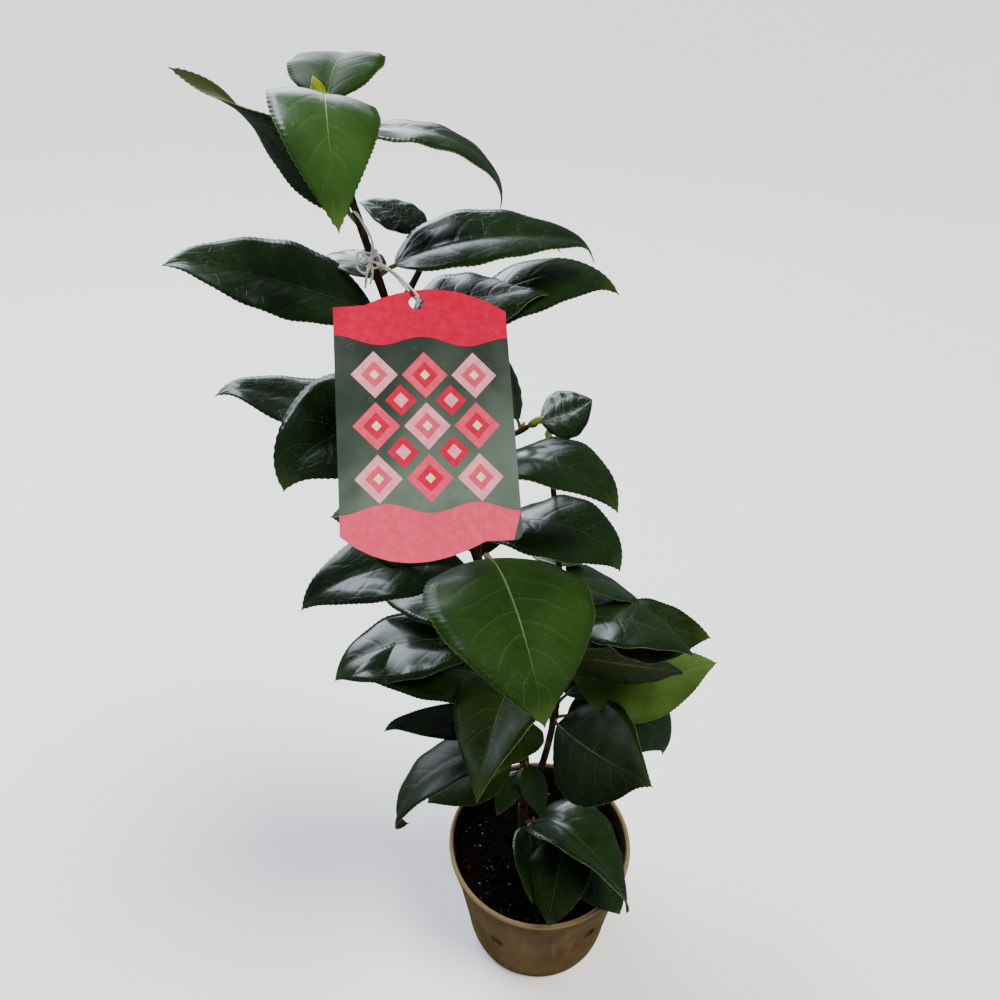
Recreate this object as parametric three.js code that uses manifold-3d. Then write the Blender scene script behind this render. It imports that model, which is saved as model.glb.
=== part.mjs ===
// A young camellia shrub in its round nursery pot, with the plant label tied to its leader.
//
// Millimetres, +Z up. The origin is the middle of the pot's flat underside, +X is the side that
// the second shoot stands on, and -Y is the front, where the label hangs.
//
// A leaf springs from a place on its stem, from 0 at the stem's start to 1 at its tip. Its heading
// is counted from +X towards +Y, so -90 comes to the front, and its rise is above the level.

import * as THREE from 'three';
import { mergeVertices } from 'three/addons/utils/BufferGeometryUtils.js';
import Module from 'manifold-3d';

const wasm = await Module();
wasm.setup();

// ---------- driving dimensions ----------

const GAP = 0.3;                 // between neighbouring pieces

const POT_HEIGHT = 77;
const POT_RIM_RADIUS = 52.5;
const POT_BASE_RADIUS = 41.5;
const POT_WALL = 1.4;
const POT_FLOOR = 2.4;
const RIM_BAND_HEIGHT = 13;      // the stiffened band below the rim
const RIM_BAND_STEP = 1;         // how far the band stands proud of the wall
const DRAIN_HOLES = 8;
const DRAIN_RADIUS = 3.5;
const DRAIN_CIRCLE = 27;
const POT_SIDES = 36;

const SOIL_LEVEL = 67;
const SOIL_SIDES = 24;

const ROOT_FLARE_RADIUS = 5.2;
const TRUNK_RADIUS = 2.9;
const TWIG_RADII = [1.5, 1.0];

const CROWN_TOP = 474;            // a seeded leaf that would leave the crown's space is left out
const CROWN_REACH = 132;
const LEAF_THICKNESS = 1 / 80;   // of the leaf's length
const PETIOLE_RADIUS = 0.85;
const BLADE_STEPS = 6;

const LABEL_WIDTH = 56.5;
const LABEL_BODY_HEIGHT = 77;    // between the two bowed ends
const LABEL_THICKNESS = 0.6;
const LABEL_CENTRE = [-46, -49.5, 376.5];
const LABEL_YAW = 17;
const LABEL_LEAN = 45;           // the top lies back towards the stem
const LABEL_ROLL = 8;
const LABEL_HOLE = [-1.5, 41];    // from the label's middle
const LABEL_HOLE_RADIUS = 2.4;
const TIE_RADIUS = 0.5;
const TIE_PLACE = 0.88;           // on the leader

const COLOURS = {
  pot: '#7d6248',
  compost: '#1c1613',
  bark: '#3d2218',
  leaf: '#1f4a1c',
  label: '#b9455a',
  tie: '#e6e1d2',
};

// ---------- stems ----------

// Each stem's curve by its start, two handles and tip; its radii at start and tip; and the share of
// it that is a stub on its parent.
const STEMS = {
  trunk: { points: [[-9, 3, SOIL_LEVEL + GAP], [-9, 3, 79], [-10, 3, 91], [-10, 3, 103]] },
  leader: { points: [[-10, 3, 103], [-4, 2, 213], [-50, -3, 333], [-78, 0, 461]],
    radii: [2.4, 1.2], stub: 0.05 },
  right: { points: [[-10, 3, 103], [18, 8, 173], [4, 12, 273], [-3, 12, 337]],
    radii: [2.1, 1.1], stub: 0.075 },
  front: { points: [[-26, -1, 263], [-27, -14, 288], [-28, -30, 311], [-28, -44, 319]],
    radii: TWIG_RADII, stub: 0.14 },
  upper: { points: [[-64, -1, 387], [-58, 2, 397], [-50, 8, 409], [-45, 14, 419]],
    radii: TWIG_RADII, stub: 0.25 },
  middle: { points: [[-47, -2, 339], [-38, 3, 337], [-24, 3, 338], [-11, 2, 348]],
    radii: TWIG_RADII, stub: 0.2 },
  low: { points: [[-9, 3, 87], [-9, -2, 96], [-4, -8, 104], [14, -14, 104]],
    radii: [1.6, 1.1], stub: 0.25 },
};

/** The curve of a named stem. */
function stemCurve(name) {
  return new THREE.CubicBezierCurve3(...STEMS[name].points.map((p) => new THREE.Vector3(...p)));
}

// ---------- foliage ----------

/** One leaf: its place on the stem, its aim, its size, and how it arches, tilts and twists. */
function leaf(at, heading, rise, length, width, droop, roll = 0, twist = 0, form = {}) {
  return { at, heading, rise, length, width, droop, roll, twist,
    bend: 1, fold: 12, hook: 20, petiole: 7, wind: 1, taper: 1.15, ...form };
}

/** A repeatable number from 0 to 1 for a leaf's count and a seed. */
function chance(count, seed) {
  const value = Math.sin(count * 12.9898 + seed * 78.233) * 43758.5453;
  return value - Math.floor(value);
}

/** Leaves on the side away from the label, spread evenly along a stretch of the stem. */
function backLeaves(count, from, to, around, seed) {
  const leaves = [];
  for (let i = 0; i < count; i++) {
    const at = from + ((to - from) * (i + 0.5)) / count;
    const heading = around + (i % 2 ? 1 : -1) * (8 + 26 * chance(i, seed));
    const rise = 12 + 20 * chance(i, seed + 1);
    const length = 60 + 14 * chance(i, seed + 2);
    const droop = 35 + 30 * chance(i, seed + 3);
    const roll = 16 * chance(i, seed + 4) - 8;
    leaves.push(leaf(at, heading, rise, length, 0.52 * length, droop, roll));
  }
  return leaves;
}

// Each mass is a stretch of stem with its leaves, and with the stubs that its side twigs start from.
const MASSES = [
  { name: 'leaves_lower', stem: 'leader', from: 0.1, to: 0.455, leaves: [
    leaf(0.11, -125, -8, 27, 15, 45, 10, 0, { petiole: 4 }),
    leaf(0.12, -166, 4, 53, 34, 49, -7),
    leaf(0.13, -68, -22, 29, 16, 30, -15, 0, { petiole: 4 }),
    leaf(0.18, -150, 11, 87, 39, 117, 17, 11, { bend: 2.2, fold: 20, hook: 45 }),
    leaf(0.205, -170, 20, 66, 20, 18, -62, 0, { fold: 18, hook: 50 }),
    leaf(0.24, -102, 40, 55, 36, 42, -12, -5),
    leaf(0.28, -102, 60, 86, 44, 78, -21, 50, { bend: 0.7, fold: 24 }),
    leaf(0.3, -164, 34, 76, 44, 32, 10, -30, { bend: 1.2, fold: 16 }),
    leaf(0.38, 183, 10, 84, 48, 62, 14, -30, { bend: 1.4 }),
    ...backLeaves(4, 0.16, 0.44, 118, 3),
  ] },
  { name: 'leaves_middle', stem: 'leader', from: 0.455, to: 0.745, stubs: ['front', 'middle'], leaves: [
    leaf(0.49, -163, 42, 81, 39, 76, 3, -40, { bend: 0.8, fold: 20 }),
    leaf(0.54, 171, 23, 58, 41, 30, -23, -10),
    leaf(0.57, -22, 26, 70, 45, 85, -21, 46, { bend: 1.7 }),
    leaf(0.63, -28, 41, 77, 43, 91, -24, 39, { bend: 1.5, fold: 18 }),
    leaf(0.66, -140, 48, 76, 53, 104, -25, -18, { bend: 1.6, fold: 20 }),
    leaf(0.7, -173, 17, 75, 34, -3, -4, -14, { bend: 1.4, hook: 54 }),
    ...backLeaves(4, 0.47, 0.73, 108, 8),
  ] },
  { name: 'leaves_upper', stem: 'leader', from: 0.745, to: 0.895, stubs: ['upper'], leaves: [
    leaf(0.765, 14, 47, 87, 32, 79, -14, 55, { bend: 1.4, fold: 4 }),
    leaf(0.82, -167, 26, 70, 38, 12, -22, -12, { fold: 22, hook: 25 }),
    leaf(0.81, 6, 24, 52, 40, 23, 35, -43, { bend: 0.8, fold: 8, hook: 35 }),
    leaf(0.85, 125, 22, 34, 20, 40, 0, 0, { fold: 15, petiole: 5 }),
    leaf(0.86, 10, 31, 77, 33, 46, 26, -18, { bend: 0.6, fold: 20, hook: 53 }),
  ] },
  { name: 'leaves_crown', stem: 'leader', from: 0.895, to: 1, bud: 9, leaves: [
    leaf(0.905, 180, 49, 66, 19, 20, -84, -150,
      { bend: 1.5, fold: 8, hook: 5, petiole: 5, wind: 1.6 }),
    leaf(0.98, -1, 5, 61, 29, 88, 5, -4, { bend: 1.9, petiole: 6 }),
    leaf(0.985, -79, 51, 68, 31, 130, -12, 0, { bend: 0.75, fold: 10, hook: 5, petiole: 5 }),
    leaf(0.99, 86, 52, 50, 32, 78, 0, 0, { bend: 0.8, fold: 14, hook: 10, petiole: 5 }),
  ] },
  { name: 'leaves_upper_twig', stem: 'upper', leaves: [
    leaf(0.95, 158, 26, 28, 19, 20, -13, 1, { bend: 1.3, petiole: 4 }),
    leaf(1, 19, 2, 46, 20, 30, 0, 0, { petiole: 4 }),
  ] },
  { name: 'leaves_middle_twig', stem: 'middle', bud: 8, leaves: [
    leaf(0.9, 120, 66, 24, 17, -10, 40, 0, { fold: 15, hook: 0, petiole: 4 }),
    leaf(1, 8, 15, 22, 25, -15, 17, 8, { hook: 0, petiole: 4, taper: 1 }),
  ] },
  { name: 'leaves_front', stem: 'front', leaves: [
    leaf(1, -75, 30, 72, 58, 75, -4, -10, { bend: 0.8, hook: 10 }),
  ] },
  { name: 'leaves_right_lower', stem: 'right', from: 0.27, to: 0.54, leaves: [
    leaf(0.3, 10, 0, 83, 41, 84, 41, 16, { bend: 1.3, fold: 15 }),
    leaf(0.29, -63, 20, 86, 52, -20, 45, 0, { fold: 8, petiole: 4, taper: 1.3 }),
    leaf(0.42, 7, -16, 77, 49, -36, 12, 9),
    leaf(0.48, -10, -6, 54, 36, -10, -70, -10, { fold: 10 }),
    ...backLeaves(3, 0.3, 0.52, 58, 14),
  ] },
  { name: 'leaves_right_upper', stem: 'right', from: 0.54, to: 1, bud: 6, leaves: [
    leaf(0.58, -24, 16, 62, 38, 60, 0, -20, { bend: 2, fold: 8 }),
    leaf(0.6, -9, -13, 65, 46, -14, -31, 62, { fold: 8 }),
    leaf(0.66, 35, -20, 60, 36, 35),
    leaf(0.57, 62, -12, 60, 34, 30),
    leaf(0.68, 84, -16, 56, 30, 24),
  ] },
  { name: 'leaves_low', stem: 'low', leaves: [
    leaf(0.36, -89, 20, 43, 22, 60, -30, -5, { petiole: 4 }),
    leaf(0.5, -46, 60, 83, 46, 127, 7, -60, { bend: 0.9, fold: 30, petiole: 5 }),
    leaf(0.9, -42, -14, 52, 34, 46, 6, 0, { petiole: 6 }),
    leaf(1, -106, 6, 46, 36, 62, 10, 10, { fold: 18, petiole: 5 }),
  ] },
];

const RADIANS = Math.PI / 180;

/** The unit vector of a heading and a rise in degrees. */
function aim(heading, rise) {
  const across = Math.cos(rise * RADIANS);
  return new THREE.Vector3(
    Math.cos(heading * RADIANS) * across, Math.sin(heading * RADIANS) * across, Math.sin(rise * RADIANS));
}

// ---------- solids ----------

/** Moves each vertex of a geometry by a function, in place. */
function shapeVertices(geometry, place) {
  const position = geometry.getAttribute('position');
  for (let i = 0; i < position.count; i++) {
    const moved = place(new THREE.Vector3().fromBufferAttribute(position, i));
    position.setXYZ(i, moved.x, moved.y, moved.z);
  }
  return geometry;
}

/** A closed geometry as a solid that can be joined and cut. */
function solid(geometry) {
  geometry.deleteAttribute('normal');
  geometry.deleteAttribute('uv');
  const merged = mergeVertices(geometry, 1e-4);
  return new wasm.Manifold(new wasm.Mesh({
    numProp: 3,
    vertProperties: new Float32Array(merged.getAttribute('position').array),
    triVerts: new Uint32Array(merged.index.array),
  }));
}

/** Joins several solids into one. */
function join(solids) {
  return solids.reduce((whole, next) => whole.add(next));
}

/** A solid as a named mesh with its own material. */
function piece(name, body, colour, roughness) {
  const { vertProperties, triVerts } = body.getMesh();
  const geometry = new THREE.BufferGeometry();
  geometry.setAttribute('position', new THREE.BufferAttribute(vertProperties, 3));
  geometry.setIndex(new THREE.BufferAttribute(triVerts, 1));
  geometry.computeVertexNormals();
  const material = new THREE.MeshStandardMaterial({ color: colour, roughness, metalness: 0 });
  const mesh = new THREE.Mesh(geometry, material);
  mesh.name = name;
  return mesh;
}

/** A round limb along a curve, between two places on it, cut flat at both ends. */
function limb(curve, from, to, radiusAt, sides = 6, steps = 8) {
  const chord = curve.getPoint(to).sub(curve.getPoint(from));
  const reference = Math.abs(chord.y) > 0.8 * chord.length()
    ? new THREE.Vector3(1, 0, 0) : new THREE.Vector3(0, 1, 0);
  return solid(shapeVertices(new THREE.CylinderGeometry(1, 1, 1, sides, steps), (v) => {
    const at = from + (to - from) * (v.y + 0.5);
    const along = curve.getTangent(at);
    const side = reference.clone().cross(along).normalize();
    const other = side.clone().cross(along);
    const radius = radiusAt(at);
    return curve.getPoint(at).addScaledVector(side, v.x * radius).addScaledVector(other, v.z * radius);
  }));
}

/** A radius that falls evenly from a stem's start to its tip. */
function taper(radii) {
  return (at) => radii[0] + (radii[1] - radii[0]) * at;
}

/** Half the width of a leaf at a share of its length, as a share of its widest half. */
function halfWidth(s, falling) {
  const rising = 0.75;
  const widest = rising / (rising + falling);
  const peak = widest ** rising * (1 - widest) ** falling;
  return (Math.max(s, 0) ** rising * Math.max(1 - s, 0) ** falling) / peak;
}

/** The direction of a leaf's midrib at a share of its length: it arches down, and its tip hooks. */
function midribAim(spec, s) {
  const hook = THREE.MathUtils.smoothstep(s, 0.8, 1) * spec.hook;
  return aim(spec.heading, spec.rise - spec.droop * s ** spec.bend - hook);
}

/** The place, side and upper normal of a leaf at even shares of its length. */
function leafSections(spec, root, count) {
  const sections = [];
  const fine = 6;
  const side = new THREE.Vector3(-Math.sin(spec.heading * RADIANS), Math.cos(spec.heading * RADIANS), 0);
  const place = root.clone().addScaledVector(aim(spec.heading, spec.rise), spec.petiole);
  for (let i = 0; i <= count * fine; i++) {
    const s = i / (count * fine);
    if (i % fine === 0) {
      const normal = midribAim(spec, s).cross(side);
      const turn = (spec.roll + spec.twist * s ** spec.wind) * RADIANS;
      sections.push({
        place: place.clone(),
        side: side.clone().multiplyScalar(Math.cos(turn)).addScaledVector(normal, Math.sin(turn)),
        normal: normal.clone().multiplyScalar(Math.cos(turn)).addScaledVector(side, -Math.sin(turn)),
      });
    }
    place.addScaledVector(midribAim(spec, s + 0.5 / (count * fine)), spec.length / (count * fine));
  }
  return sections;
}

/** Whether a leaf's tip stays inside the space of the crown. */
function staysInside(sections) {
  const tip = sections[sections.length - 1].place;
  return tip.z < CROWN_TOP && Math.abs(tip.x) < CROWN_REACH && Math.abs(tip.y) < CROWN_REACH;
}

/** A leaf with its stalk: a thin blade, folded along its midrib, on a stalk sunk into the stem. */
function leafSolid(spec, curve) {
  const root = curve.getPoint(spec.at);
  const sections = leafSections(spec, root, BLADE_STEPS);
  if (!staysInside(sections)) return null;
  const thick = spec.length * LEAF_THICKNESS;
  const cup = 0.25;
  const blade = shapeVertices(new THREE.BoxGeometry(2, 1, 1, 2, BLADE_STEPS, 1), (v) => {
    const index = Math.round((v.y + 0.5) * BLADE_STEPS);
    const { place, side, normal } = sections[index];
    const half = Math.max((spec.width / 2) * halfWidth(index / BLADE_STEPS, spec.taper), 0.5);
    const lift = half * Math.abs(v.x) * Math.sin(spec.fold * RADIANS) - cup * half * v.x * v.x;
    return place.clone()
      .addScaledVector(side, -v.x * half * Math.cos(spec.fold * RADIANS))
      .addScaledVector(normal, lift + v.z * thick);
  });
  const sunk = sections[0].place.clone().addScaledVector(aim(spec.heading, spec.rise), 2);
  const stalk = limb(new THREE.LineCurve3(root, sunk), 0, 1, () => PETIOLE_RADIUS, 3, 1);
  return solid(blade).add(stalk);
}

/** A pointed bud that stands on the tip of a stem. */
function budSolid(curve, length) {
  const tip = curve.getPoint(1);
  const along = curve.getTangent(1);
  const girth = [0, 0.16, 0.24, 0.2, 0.1, 0].map((share) => share * length);
  const profile = girth.map((radius, i) => new THREE.Vector2(radius, (i / (girth.length - 1)) * length));
  const bud = new THREE.LatheGeometry(profile, 6);
  bud.applyQuaternion(new THREE.Quaternion().setFromUnitVectors(new THREE.Vector3(0, 1, 0), along));
  bud.translate(...tip.addScaledVector(along, -1.5).toArray());
  return solid(bud);
}

/** How far along a curve, in its own measure, a length in millimetres reaches. */
function share(curve, length) {
  return length / curve.getLength();
}

/** The stub at the foot of a stem, which belongs to its parent. */
function stubSolid(name) {
  const curve = stemCurve(name);
  const { radii, stub } = STEMS[name];
  return limb(curve, 0, stub - share(curve, GAP), taper(radii), 6, 2);
}

/** A mass: its stretch of stem, its leaves and bud, and the stubs of its side twigs. */
function massSolid({ stem, from = STEMS[stem].stub, to = 1, leaves, stubs = [], bud = 0 }) {
  const curve = stemCurve(stem);
  const end = to < 1 ? to - share(curve, GAP) : 1;
  const solids = [limb(curve, from, end, taper(STEMS[stem].radii), 6, 6), ...stubs.map(stubSolid)];
  solids.push(...leaves.map((spec) => leafSolid(spec, curve)).filter(Boolean));
  if (bud) solids.push(budSolid(curve, bud));
  return join(solids);
}

/** The main stem: a flared foot on a flat cut, up to the fork with the stubs of its shoots. */
function trunkSolid() {
  const flare = (at) => TRUNK_RADIUS + (ROOT_FLARE_RADIUS - TRUNK_RADIUS) * Math.exp(-at * 6);
  const stubs = ['leader', 'right', 'low'].map(stubSolid);
  return join([limb(stemCurve('trunk'), 0, 1, flare, 8, 6), ...stubs]);
}

/** A bare stretch of shoot between the fork and the first mass on it. */
function shootSolid(stem, to) {
  const curve = stemCurve(stem);
  const { radii, stub } = STEMS[stem];
  return limb(curve, stub, to - share(curve, GAP), taper(radii), 8, 8);
}

/** The outer radius of the pot's plain wall at a height. */
function potRadius(height) {
  const top = POT_RIM_RADIUS - RIM_BAND_STEP;
  return POT_BASE_RADIUS + ((top - POT_BASE_RADIUS) * height) / POT_HEIGHT;
}

/** A thin tapered pot with a proud band at the rim and drain holes round its floor. */
function potSolid() {
  const band = POT_HEIGHT - RIM_BAND_HEIGHT;
  const profile = [
    [0, 0],
    [POT_BASE_RADIUS - 1, 0],
    [potRadius(1), 1],
    [potRadius(band), band],
    [potRadius(band) + RIM_BAND_STEP, band + 0.8],
    [POT_RIM_RADIUS, POT_HEIGHT - 1],
    [POT_RIM_RADIUS - 0.6, POT_HEIGHT],
    [POT_RIM_RADIUS - RIM_BAND_STEP - POT_WALL, POT_HEIGHT],
    [potRadius(POT_FLOOR) - POT_WALL, POT_FLOOR],
    [0, POT_FLOOR],
  ].map(([radius, height]) => new THREE.Vector2(radius, height));
  let pot = solid(new THREE.LatheGeometry(profile, POT_SIDES).rotateX(Math.PI / 2));
  for (let i = 0; i < DRAIN_HOLES; i++) {
    const turn = (i / DRAIN_HOLES) * 2 * Math.PI;
    const drill = new THREE.CylinderGeometry(DRAIN_RADIUS, DRAIN_RADIUS, 4 * POT_FLOOR, 10);
    drill.rotateX(Math.PI / 2).translate(DRAIN_CIRCLE * Math.cos(turn), DRAIN_CIRCLE * Math.sin(turn), 0);
    pot = pot.subtract(solid(drill));
  }
  return pot;
}

/** The root ball and compost that fill the pot, a little lower than the rim. */
function compostSolid() {
  const inner = (height) => potRadius(height) - POT_WALL - GAP;
  const profile = [
    [0, POT_FLOOR + GAP],
    [inner(POT_FLOOR) - GAP, POT_FLOOR + GAP],
    [inner(SOIL_LEVEL - 1.5) - GAP, SOIL_LEVEL - 1.5],
    [inner(SOIL_LEVEL) * 0.6, SOIL_LEVEL],
    [0, SOIL_LEVEL],
  ].map(([radius, height]) => new THREE.Vector2(radius, height));
  return solid(new THREE.LatheGeometry(profile, SOIL_SIDES).rotateX(Math.PI / 2));
}

/** Turns a place on the upright label (x across, z up, y through it) to where the label hangs. */
function labelPlace(vector) {
  return vector
    .applyAxisAngle(new THREE.Vector3(0, 1, 0), LABEL_ROLL * RADIANS)
    .applyAxisAngle(new THREE.Vector3(1, 0, 0), -LABEL_LEAN * RADIANS)
    .applyAxisAngle(new THREE.Vector3(0, 0, 1), LABEL_YAW * RADIANS)
    .add(new THREE.Vector3(...LABEL_CENTRE));
}

/** A flat plastic card with bowed ends and a hole for its tie. */
function labelSolid() {
  const half = LABEL_WIDTH / 2;
  const edge = LABEL_BODY_HEIGHT / 2;
  const outline = new THREE.Shape();
  outline.moveTo(-half, -edge + 3);
  outline.quadraticCurveTo(-half + 18, -edge - 13, half - 12, -edge);
  outline.lineTo(half - 3, -edge);
  outline.quadraticCurveTo(half, -edge, half, -edge + 3);
  outline.lineTo(half, edge);
  outline.quadraticCurveTo(6, edge + 14, -half + 10, edge + 1);
  outline.lineTo(-half, edge);
  outline.closePath();
  const hole = new THREE.Path().absarc(LABEL_HOLE[0], LABEL_HOLE[1], LABEL_HOLE_RADIUS, 0, 2 * Math.PI);
  outline.holes.push(hole);
  const card = new THREE.ExtrudeGeometry(outline, {
    depth: LABEL_THICKNESS, bevelEnabled: false, curveSegments: 8 });
  card.translate(0, 0, -LABEL_THICKNESS / 2).rotateX(Math.PI / 2);
  return solid(shapeVertices(card, labelPlace));
}

/** The tie: a thin elastic string round the leader, through the label's hole and knotted. */
function tieSolid() {
  const leader = stemCurve('leader');
  const held = leader.getPoint(TIE_PLACE);
  const ring = taper(STEMS.leader.radii)(TIE_PLACE) + TIE_RADIUS + 0.9;
  const hole = labelPlace(new THREE.Vector3(LABEL_HOLE[0], 0, LABEL_HOLE[1] + 1.4));
  const front = labelPlace(new THREE.Vector3(LABEL_HOLE[0], -2.2, LABEL_HOLE[1] + 2));
  const behind = labelPlace(new THREE.Vector3(LABEL_HOLE[0], 2.4, LABEL_HOLE[1] + 2.6));
  const knot = held.clone().add(new THREE.Vector3(0.6, -ring - 1.4, -1));
  const path = new THREE.CatmullRomCurve3([
    knot,
    held.clone().add(new THREE.Vector3(-ring, -0.4, 1)),
    held.clone().add(new THREE.Vector3(0.3, ring, 2)),
    held.clone().add(new THREE.Vector3(ring, -0.4, 1)),
    knot.clone().add(new THREE.Vector3(1.2, -0.6, -1)),
    knot.clone().lerp(front, 0.5),
    front,
    hole,
    behind,
    behind.clone().lerp(knot, 0.5).add(new THREE.Vector3(0, 0, 1)),
  ]);
  const section = new THREE.Shape().absarc(0, 0, TIE_RADIUS, 0, 2 * Math.PI);
  const string = new THREE.ExtrudeGeometry(section, {
    steps: 48, extrudePath: path, bevelEnabled: false, curveSegments: 3 });
  const ball = new THREE.IcosahedronGeometry(1.3, 1).translate(...knot.toArray());
  return join([solid(string), solid(ball)]);
}

// ---------- the plant ----------

const plant = new THREE.Group();
plant.add(piece('pot', potSolid(), COLOURS.pot, 0.6));
plant.add(piece('compost', compostSolid(), COLOURS.compost, 1));
plant.add(piece('trunk', trunkSolid(), COLOURS.bark, 0.9));
plant.add(piece('leader', shootSolid('leader', 0.1), COLOURS.bark, 0.9));
plant.add(piece('right_shoot', shootSolid('right', 0.27), COLOURS.bark, 0.9));
for (const mass of MASSES) plant.add(piece(mass.name, massSolid(mass), COLOURS.leaf, 0.35));
plant.add(piece('label', labelSolid(), COLOURS.label, 0.4));
plant.add(piece('label_tie', tieSolid(), COLOURS.tie, 0.8));

export default plant;
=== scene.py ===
"""The looks of a young camellia shrub in its nursery pot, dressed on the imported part.

Lengths in the tables are millimetres in the part's own frame: the origin is the middle of the pot's
underside, +Z is up, +X is the side of the second shoot, and -Y is the front.
"""
import logging
import math
from dataclasses import dataclass, field
from enum import Enum
from functools import cache, partialmethod
from typing import Callable, Sequence

import bmesh
import bpy
from mathutils import Matrix, Vector, noise


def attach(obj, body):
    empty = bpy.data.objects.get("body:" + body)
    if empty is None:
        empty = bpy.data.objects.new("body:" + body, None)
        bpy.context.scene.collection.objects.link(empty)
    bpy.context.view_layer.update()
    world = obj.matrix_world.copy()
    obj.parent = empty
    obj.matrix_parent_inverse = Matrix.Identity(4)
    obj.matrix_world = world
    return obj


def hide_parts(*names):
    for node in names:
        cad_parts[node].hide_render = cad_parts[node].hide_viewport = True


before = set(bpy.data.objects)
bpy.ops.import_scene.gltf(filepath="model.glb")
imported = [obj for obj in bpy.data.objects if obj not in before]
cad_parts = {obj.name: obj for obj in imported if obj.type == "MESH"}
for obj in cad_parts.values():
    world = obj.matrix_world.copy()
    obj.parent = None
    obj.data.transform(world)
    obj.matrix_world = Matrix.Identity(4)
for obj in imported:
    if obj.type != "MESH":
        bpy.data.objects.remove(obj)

Colour = tuple[float, float, float, float]
Triple = tuple[float, float, float]
Pair = tuple[float, float]
Shape = bmesh.types.BMesh
Material = bpy.types.Material

MM = 0.001
ROOT = "root"
LEAF_MAP = "leaf"
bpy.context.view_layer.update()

log = logging.getLogger("shrub")


def linear(code: str) -> Colour:
    """Turns a six-digit colour code into a linear colour.

    Args:
        code: The code.

    Returns:
        The colour that shaders read.
    """
    channels = [int(code[i:i + 2], 16) / 255 for i in (0, 2, 4)]
    curve = [c / 12.92 if c <= 0.04045 else ((c + 0.055) / 1.055) ** 2.4 for c in channels]
    return (curve[0], curve[1], curve[2], 1.0)


def chance(count: float, seed: float) -> float:
    """Gives a repeatable number from 0 to 1 for a count and a seed."""
    value = math.sin(count * 12.9898 + seed * 78.233) * 43758.5453
    return value - math.floor(value)


# ---------- finishes ----------


class Value:
    """A node's output, on which plain arithmetic and patterns add further nodes."""

    def __init__(self, graph: "Graph", socket: bpy.types.NodeSocket) -> None:
        """Takes the graph and the output."""
        self.graph, self.socket = graph, socket

    def math(self, operation: str, *others: "Value | float") -> "Value":
        """Adds a Math node on this value and others."""
        return self.graph.node("ShaderNodeMath", dict(enumerate((self, *others))), operation=operation)

    __add__ = partialmethod(math, "ADD")
    __sub__ = partialmethod(math, "SUBTRACT")
    __mul__ = partialmethod(math, "MULTIPLY")
    __pow__ = partialmethod(math, "POWER")
    __gt__ = partialmethod(math, "GREATER_THAN")
    __abs__ = partialmethod(math, "ABSOLUTE")
    fraction = partialmethod(math, "FRACT")
    at_most = partialmethod(math, "MINIMUM")

    def ramp(self, low: "Value | float", high: float, to_low: "Value | float" = 0.0,
             to_high: float = 1.0) -> "Value":
        """Eases from to_low where this value is low up to to_high where it is high."""
        inputs = dict(enumerate((self, low, high, to_low, to_high)))
        return self.graph.node("ShaderNodeMapRange", inputs, interpolation_type="SMOOTHSTEP")

    def mix(self, first: "Value | str", second: str) -> "Value":
        """Mixes two colours, where this value is the share of the second."""
        return self.graph.node("ShaderNodeMix", {0: self, 6: first, 7: second}, 2, data_type="RGBA")

    def parts(self) -> list["Value"]:
        """Splits this vector into its three numbers."""
        split = self.graph.node("ShaderNodeSeparateXYZ", {0: self}).socket.node
        return [Value(self.graph, socket) for socket in split.outputs]

    def stretch(self, *scale: float) -> "Value":
        """Stretches this vector along its three axes."""
        return self.graph.node("ShaderNodeMapping", {"Vector": self, "Scale": scale})

    def measure(self, operation: str, other: Sequence[float]) -> "Value":
        """Measures this vector against a fixed one."""
        return self.graph.node("ShaderNodeVectorMath", {0: self, 1: other}, "Value", operation=operation)

    def noise(self, scale: float, detail: float = 4, roughness: float = 0.55) -> "Value":
        """Gives a noise pattern on this vector."""
        inputs = {"Vector": self, "Scale": scale, "Detail": detail, "Roughness": roughness}
        return self.graph.node("ShaderNodeTexNoise", inputs)

    def cells(self, scale: float, feature: str = "F1") -> "Value":
        """Gives the distances of a cell pattern on this vector."""
        inputs = {"Vector": self, "Scale": scale}
        return self.graph.node("ShaderNodeTexVoronoi", inputs, "Distance", feature=feature)


class Graph:
    """A node tree that is put together step by step."""

    def __init__(self, tree: bpy.types.NodeTree) -> None:
        """Takes the tree."""
        self.tree = tree

    def put(self, socket: bpy.types.NodeSocket, value: object) -> None:
        """Links a socket to a value, or gives it a number, a vector or a colour code."""
        if isinstance(value, Value):
            self.tree.links.new(value.socket, socket)
        else:
            socket.default_value = linear(value) if isinstance(value, str) else value

    def node(self, kind: str, inputs: dict[int | str, object], output: int | str = 0,
             **settings: str) -> Value:
        """Adds a node.

        Args:
            kind: The type of node.
            inputs: What its sockets are given, by their number or label.
            output: The number or label of the output that is wanted.
            settings: The node's own properties.

        Returns:
            The output.
        """
        made = self.tree.nodes.new(kind)
        for key, value in settings.items():
            setattr(made, key, value)
        for key, value in inputs.items():
            self.put(made.inputs[key], value)
        return Value(self, made.outputs[output])


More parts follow.
